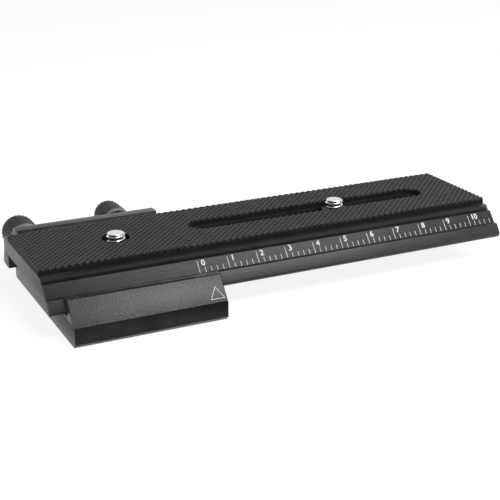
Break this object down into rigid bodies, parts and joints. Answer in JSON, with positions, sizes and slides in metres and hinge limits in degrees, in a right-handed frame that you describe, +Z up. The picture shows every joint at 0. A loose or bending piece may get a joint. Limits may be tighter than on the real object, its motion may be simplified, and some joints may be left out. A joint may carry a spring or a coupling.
{
  "type": "macro focusing rail",
  "caption": "Geared slide for close-up photography: long rail with rubber pad, scale and camera screws, moved along a short tripod base by a side knob and held by a lock knob.",
  "frame": {"origin": "mouth of the tripod thread, on the underside of the base", "axes": "+X along the rail to the right of the scale, +Y back to the knobs, +Z up"},
  "size_m": [0.158, 0.078, 0.021],
  "materials": {
    "cast_zinc_black": "die-cast zinc alloy, satin black coating",
    "anodised_black": "black anodised extrusion",
    "anodised_knob": "black anodised, knurled",
    "rubber_black": "ribbed matt rubber",
    "stainless": "turned stainless steel",
    "black_steel": "black oxide steel",
    "bright_brass": "machined brass",
    "acetal_black": "black acetal",
    "fibre_red": "vulcanised fibre"
  },
  "bodies": {
    "base": {"base_block": "cast_zinc_black", "tripod_bush": "stainless", "lock_insert": "bright_brass", "shaft_bush": "bright_brass", "gib_set_screws": "black_steel", "drag_washer": "acetal_black"},
    "rail": {"rail_plate": "anodised_black", "rubber_pad": "rubber_black", "focus_rack": "bright_brass", "rack_screws": "black_steel", "front_screw_bush": "acetal_black"},
    "focus": {"focus_knob": "anodised_knob", "knob_set_screw": "black_steel", "pinion_shaft": "stainless", "thrust_washer": "acetal_black", "disc_spring": "stainless"},
    "gib": {"gib_strip": "bright_brass"},
    "lock": {"lock_knob": "anodised_knob", "lock_screw": "stainless"},
    "front_washer": {"front_screw_washer": "fibre_red"},
    "front_screw": {"front_camera_screw": "stainless"},
    "guide": {"slot_guide": "acetal_black"},
    "slot_washer": {"slot_screw_washer": "fibre_red"},
    "slot_screw": {"slot_camera_screw": "stainless"}
  },
  "joints": [
    {"name": "rail_slide", "type": "slide", "parent": "base", "child": "rail", "axis": [1, 0, 0], "range_m": [-0.0983, 0.0017]},
    {"name": "focus_turn", "type": "hinge", "parent": "base", "child": "focus", "pos_m": [-0.01898, 0, 0.0112], "axis": [0, 1, 0], "range_deg": [-48.8, 2816.3]},
    {"name": "gib_press", "type": "slide", "parent": "base", "child": "gib", "axis": [0, -1, 0], "range_m": [0, 0.0003]},
    {"name": "lock_turn", "type": "hinge", "parent": "gib", "child": "lock", "pos_m": [0.01235, 0, 0.0133], "axis": [0, -1, 0], "range_deg": [0, 135]},
    {"name": "front_screw_lift", "type": "slide", "parent": "rail", "child": "front_washer", "axis": [0, 0, 1], "range_m": [0, 0.00245]},
    {"name": "front_screw_turn", "type": "hinge", "parent": "front_washer", "child": "front_screw", "pos_m": [0.001, 0, 0], "axis": [0, 0, 1], "continuous": true},
    {"name": "slot_guide_slide", "type": "slide", "parent": "rail", "child": "guide", "axis": [1, 0, 0], "range_m": [-0.0485, 0.0294]},
    {"name": "slot_screw_lift", "type": "slide", "parent": "guide", "child": "slot_washer", "axis": [0, 0, 1], "range_m": [0, 0.00245]},
    {"name": "slot_screw_turn", "type": "hinge", "parent": "slot_washer", "child": "slot_screw", "pos_m": [0.07935, 0, 0], "axis": [0, 0, 1], "continuous": true}
  ],
  "couplings": [
    {"joint": "focus_turn", "follows": "rail_slide", "rad_per_m": -500},
    {"joint": "lock_turn", "follows": "gib_press", "rad_per_m": 7853.9}
  ]
}
